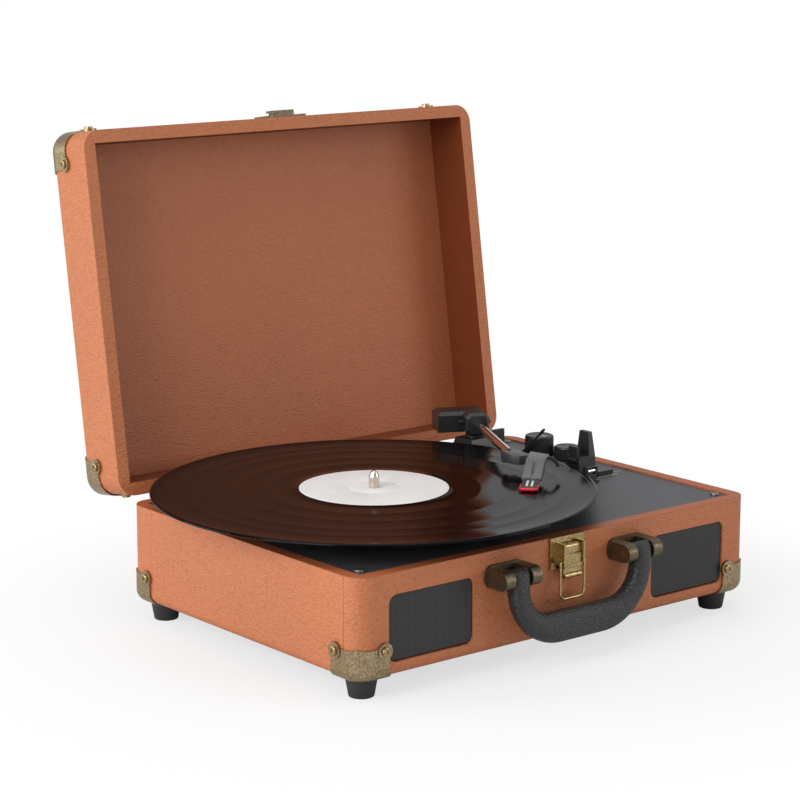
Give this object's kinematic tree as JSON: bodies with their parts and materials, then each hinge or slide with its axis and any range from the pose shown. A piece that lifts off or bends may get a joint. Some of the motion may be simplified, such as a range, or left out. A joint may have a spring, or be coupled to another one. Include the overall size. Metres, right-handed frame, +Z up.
{
  "type": "suitcase record player",
  "caption": "Portable record player in a hinged leatherette case with belt-driven platter, tonearm, front speakers, latch and carrying handle.",
  "frame": {"origin": "under the middle of the open machine's bounding box, at the level of the rubber feet's undersides", "axes": "+Z up, +X to the right as seen from the front, +Y towards the hinges at the back"},
  "size_m": [0.3824, 0.3645, 0.3358],
  "materials": {
    "leatherette": "pebbled tan leatherette",
    "lining": "fine-grained tan lining",
    "board": "painted fibreboard",
    "deck_vinyl": "fine-textured black vinyl",
    "rubber_black": "matt",
    "screw_steel": "dull plated steel",
    "antique_brass": "mottled antique brass",
    "dark_bronze": "dark antique bronze",
    "grille_grey": "dark grey mesh",
    "speaker_paper": "black paper cone",
    "magnet": "ferrite",
    "black_plastic": "satin black",
    "grey_plastic": "satin mid grey",
    "red_plastic": "bright red",
    "circuit": "green circuit board",
    "chrome": "polished",
    "vinyl": "grooved black vinyl",
    "label_paper": "white paper",
    "felt": "black felt",
    "handle_leather": "padded black leatherette"
  },
  "bodies": {
    "case": {"base_shell": "leatherette", "bottom_panel": "board", "rubber_feet": "rubber_black", "foot_screws": "screw_steel", "deck_cleats": "board", "deck_plate": "deck_vinyl", "deck_screws": "screw_steel", "base_corner_brackets": "antique_brass", "base_bracket_screws": "antique_brass", "left_grille": "grille_grey", "right_grille": "grille_grey", "left_speaker_frame": "screw_steel", "right_speaker_frame": "screw_steel", "left_speaker_cone": "speaker_paper", "right_speaker_cone": "speaker_paper", "speaker_magnets": "magnet", "handle_brackets": "dark_bronze", "handle_pins": "antique_brass", "latch_plate": "antique_brass", "hinge_base_leaves": "dark_bronze", "hinge_pins": "dark_bronze", "jack_panel": "black_plastic", "audio_jacks": "black_plastic", "dc_inlet": "black_plastic", "amplifier_board": "circuit", "control_board": "circuit", "motor": "screw_steel", "platter_bearing": "antique_brass", "drive_belt": "rubber_black", "tonearm_base": "black_plastic", "arm_rest_post": "black_plastic", "arm_clip_pin": "screw_steel", "cue_bracket": "black_plastic", "speed_switch": "black_plastic"},
    "turntable": {"platter": "black_plastic", "slip_mat": "felt", "spindle": "chrome", "record": "vinyl", "record_label": "label_paper"},
    "pulley": {"motor_pulley": "antique_brass"},
    "arm_swivel": {"arm_gimbal": "black_plastic"},
    "tonearm": {"arm_housing": "black_plastic", "tonearm_tube": "chrome", "headshell": "grey_plastic", "cartridge": "grey_plastic", "stylus": "red_plastic"},
    "lid": {"lid_shell": "leatherette", "lid_panel": "lining", "lid_corner_brackets": "antique_brass", "lid_bracket_screws": "antique_brass", "lid_strike": "dark_bronze", "hinge_lid_leaves": "dark_bronze"},
    "handle": {"handle_grip": "handle_leather"},
    "latch_lever": {"latch_lever": "antique_brass"},
    "latch_loop": {"latch_bail": "antique_brass"},
    "volume_knob": {"volume_knob": "black_plastic"},
    "function_knob": {"function_knob": "black_plastic"},
    "cue_lever": {"cue_lever": "black_plastic"},
    "speed_selector": {"speed_selector": "black_plastic"},
    "arm_clip": {"arm_clip": "black_plastic"}
  },
  "joints": [
    {"name": "platter_spin", "type": "hinge", "parent": "case", "child": "turntable", "pos_m": [-0.04045, -0.03146, 0.0969], "axis": [0, 0, -1], "continuous": true},
    {"name": "pulley_spin", "type": "hinge", "parent": "case", "child": "pulley", "pos_m": [-0.09136, 0.01945, 0.0896], "axis": [0, 0, -1], "continuous": true},
    {"name": "arm_swing", "type": "hinge", "parent": "case", "child": "arm_swivel", "pos_m": [0.11795, 0.04894, 0.1074], "axis": [0, 0, 1], "range_deg": [-15, 20]},
    {"name": "arm_tilt", "type": "hinge", "parent": "arm_swivel", "child": "tonearm", "pos_m": [0.11795, 0.04894, 0.1074], "axis": [-0.887, 0.4617, 0], "range_deg": [-0.1, 10]},
    {"name": "lid_hinge", "type": "hinge", "parent": "case", "child": "lid", "pos_m": [0.01515, 0.09634, 0.0769], "axis": [1, 0, 0], "range_deg": [0, 16]},
    {"name": "handle_swing", "type": "hinge", "parent": "case", "child": "handle", "pos_m": [0.01515, -0.17566, 0.0645], "axis": [-1, 0, 0], "range_deg": [0, 110]},
    {"name": "latch_lever_pull", "type": "hinge", "parent": "case", "child": "latch_lever", "pos_m": [0.01515, -0.16546, 0.0745], "axis": [-1, 0, 0], "range_deg": [0, 110]},
    {"name": "latch_loop_swing", "type": "hinge", "parent": "case", "child": "latch_loop", "pos_m": [0.01515, -0.16806, 0.0655], "axis": [-1, 0, 0], "range_deg": [0, 180]},
    {"name": "volume_turn", "type": "hinge", "parent": "case", "child": "volume_knob", "pos_m": [0.15725, 0.02054, 0.08], "axis": [0, 0, -1], "range_deg": [0, 300]},
    {"name": "function_turn", "type": "hinge", "parent": "case", "child": "function_knob", "pos_m": [0.16745, 0.00154, 0.08], "axis": [0, 0, -1], "range_deg": [0, 90]},
    {"name": "cue_lift", "type": "hinge", "parent": "case", "child": "cue_lever", "pos_m": [0.14265, 0.02654, 0.0815], "axis": [-1, 0, 0], "range_deg": [0, 50]},
    {"name": "speed_slide", "type": "slide", "parent": "case", "child": "speed_selector", "axis": [1, 0, 0], "range_m": [-0.005, 0.005]},
    {"name": "arm_clip_swing", "type": "hinge", "parent": "case", "child": "arm_clip", "pos_m": [0.11995, -0.05646, 0.0968], "axis": [0, -1, 0], "range_deg": [0, 80]}
  ],
  "couplings": [
    {"joint": "pulley_spin", "follows": "platter_spin", "ratio": 9.5}
  ]
}
